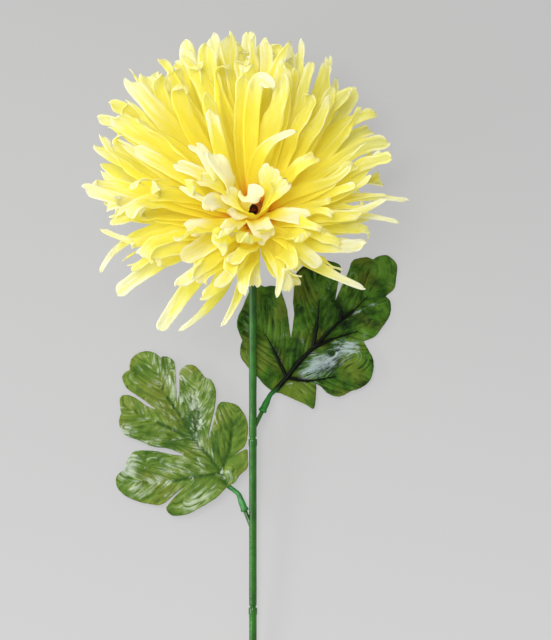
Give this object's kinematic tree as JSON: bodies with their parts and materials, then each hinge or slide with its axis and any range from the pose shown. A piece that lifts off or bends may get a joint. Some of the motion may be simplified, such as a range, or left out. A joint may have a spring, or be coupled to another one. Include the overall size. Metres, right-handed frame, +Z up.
{
  "type": "artificial spider chrysanthemum",
  "caption": "Artificial cut flower lying down: a bloom of long curling ribbon petals on a wired green stem with lobed cloth leaves on plastic ribs.",
  "frame": {"origin": "middle of the bounding box on the surface that the flower lies on", "axes": "+Y along the stem from its cut end to the bloom, +Z up from the surface, +X to the right when seen from above with the bloom at the top"},
  "size_m": [0.1536, 0.3396, 0.1002],
  "materials": {
    "stem_plastic": "moulded green polyethylene, slightly waxy",
    "wire_steel": "dull drawn wire",
    "calyx_plastic": "moulded green polyethylene",
    "petal_cloth": "thin yellow polyester cloth, orange at the root and cream at the tip",
    "peg_plastic": "dark red-brown polyethylene",
    "leaf_cloth_light": "coated green cloth with a soft gloss",
    "leaf_cloth_dark": "coated dark green cloth with a soft gloss",
    "stalk_plastic_light": "moulded light green polyethylene",
    "stalk_plastic_dark": "moulded black-green polyethylene"
  },
  "bodies": {
    "root": {"stem": "stem_plastic", "stem_wire": "wire_steel", "calyx": "calyx_plastic", "bloom": "petal_cloth", "centre_peg": "peg_plastic", "leaf_lower": "leaf_cloth_light", "leaf_upper": "leaf_cloth_dark", "leaf_stalk_lower": "stalk_plastic_light", "leaf_stalk_upper": "stalk_plastic_dark"}
  },
  "joints": []
}
